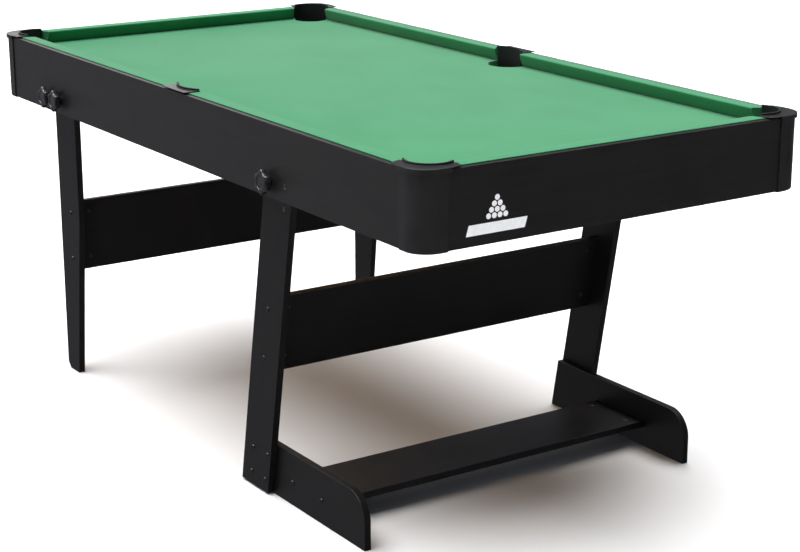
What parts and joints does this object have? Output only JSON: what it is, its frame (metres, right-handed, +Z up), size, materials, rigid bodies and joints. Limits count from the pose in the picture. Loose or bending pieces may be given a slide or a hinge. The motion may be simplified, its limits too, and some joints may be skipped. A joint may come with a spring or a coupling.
{
  "type": "folding pool table",
  "caption": "Folding pool table: cloth-covered bed, cushioned rails and drop pockets in a black cabinet on two leg frames; the rear legs fold in and the cabinet tips upright.",
  "frame": {"origin": "on the floor under the middle of the table", "axes": "+X to the front end, along the long side; +Y to the right-hand side rail; +Z up"},
  "size_m": [1.853, 0.959, 0.8163],
  "materials": {
    "black_laminate": "satin black laminate on fibreboard",
    "bare_board": "bare fibreboard",
    "green_cloth": "napped green cloth",
    "black_plastic": "moulded black plastic, fine satin grain",
    "knob_plastic": "moulded black plastic, half gloss",
    "zinc_steel": "zinc-plated steel",
    "nylon": "black nylon"
  },
  "bodies": {
    "front_frame": {"front_leg_left": "black_laminate", "front_leg_right": "black_laminate", "front_crossboard": "black_laminate", "front_foot_left": "black_laminate", "front_foot_right": "black_laminate", "foot_shelf": "black_laminate"},
    "cabinet": {"bed_board": "bare_board", "bed_cloth": "green_cloth", "bed_beam_1": "bare_board", "bed_beam_2": "bare_board", "bed_beam_3": "bare_board", "bed_beam_4": "bare_board", "end_batten_front": "bare_board", "end_batten_rear": "bare_board", "end_apron_front": "black_laminate", "end_apron_rear": "black_laminate", "side_apron_left": "black_laminate", "side_apron_right": "black_laminate", "cushion_left_front": "green_cloth", "cushion_left_rear": "green_cloth", "cushion_right_front": "green_cloth", "cushion_right_rear": "green_cloth", "cushion_front": "green_cloth", "cushion_rear": "green_cloth", "corner_post_rear_left": "black_plastic", "corner_cap_rear_left": "black_plastic", "pocket_cup_rear_left": "black_plastic", "corner_post_front_left": "black_plastic", "corner_cap_front_left": "black_plastic", "pocket_cup_front_left": "black_plastic", "corner_post_front_right": "black_plastic", "corner_cap_front_right": "black_plastic", "pocket_cup_front_right": "black_plastic", "corner_post_rear_right": "black_plastic", "corner_cap_rear_right": "black_plastic", "pocket_cup_rear_right": "black_plastic", "side_cap_left": "black_plastic", "pocket_cup_left": "black_plastic", "spacer_front_left": "nylon", "spacer_rear_left": "nylon", "side_cap_right": "black_plastic", "pocket_cup_right": "black_plastic", "spacer_front_right": "nylon", "spacer_rear_right": "nylon"},
    "rear_frame": {"rear_leg_left": "black_laminate", "rear_leg_right": "black_laminate", "rear_crossboard": "black_laminate"},
    "knob_front_pivot_left_turning": {"knob_front_pivot_left": "knob_plastic", "stud_front_pivot_left": "zinc_steel"},
    "knob_rear_pivot_left_turning": {"knob_rear_pivot_left": "knob_plastic", "stud_rear_pivot_left": "zinc_steel"},
    "knob_rear_lock_left_turning": {"knob_rear_lock_left": "knob_plastic", "stud_rear_lock_left": "zinc_steel"},
    "knob_front_pivot_right_turning": {"knob_front_pivot_right": "knob_plastic", "stud_front_pivot_right": "zinc_steel"},
    "knob_rear_pivot_right_turning": {"knob_rear_pivot_right": "knob_plastic", "stud_rear_pivot_right": "zinc_steel"},
    "knob_rear_lock_right_turning": {"knob_rear_lock_right": "knob_plastic", "stud_rear_lock_right": "zinc_steel"}
  },
  "joints": [
    {"name": "table_tilt", "type": "hinge", "parent": "front_frame", "child": "cabinet", "pos_m": [0.399, 0, 0.6925], "axis": [0, 1, 0], "range_deg": [0, 80]},
    {"name": "rear_legs_fold", "type": "hinge", "parent": "cabinet", "child": "rear_frame", "pos_m": [-0.594, 0, 0.6925], "axis": [0, -1, 0], "range_deg": [0, 90]},
    {"name": "front_pivot_knob_left_turn", "type": "hinge", "parent": "cabinet", "child": "knob_front_pivot_left_turning", "pos_m": [0.399, -0.4575, 0.6925], "axis": [0, -1, 0], "continuous": true},
    {"name": "rear_pivot_knob_left_turn", "type": "hinge", "parent": "cabinet", "child": "knob_rear_pivot_left_turning", "pos_m": [-0.594, -0.4575, 0.6925], "axis": [0, -1, 0], "continuous": true},
    {"name": "rear_lock_knob_left_turn", "type": "hinge", "parent": "cabinet", "child": "knob_rear_lock_left_turning", "pos_m": [-0.6535, -0.4575, 0.6925], "axis": [0, -1, 0], "continuous": true},
    {"name": "front_pivot_knob_right_turn", "type": "hinge", "parent": "cabinet", "child": "knob_front_pivot_right_turning", "pos_m": [0.399, 0.4575, 0.6925], "axis": [0, 1, 0], "continuous": true},
    {"name": "rear_pivot_knob_right_turn", "type": "hinge", "parent": "cabinet", "child": "knob_rear_pivot_right_turning", "pos_m": [-0.594, 0.4575, 0.6925], "axis": [0, 1, 0], "continuous": true},
    {"name": "rear_lock_knob_right_turn", "type": "hinge", "parent": "cabinet", "child": "knob_rear_lock_right_turning", "pos_m": [-0.6535, 0.4575, 0.6925], "axis": [0, 1, 0], "continuous": true}
  ]
}
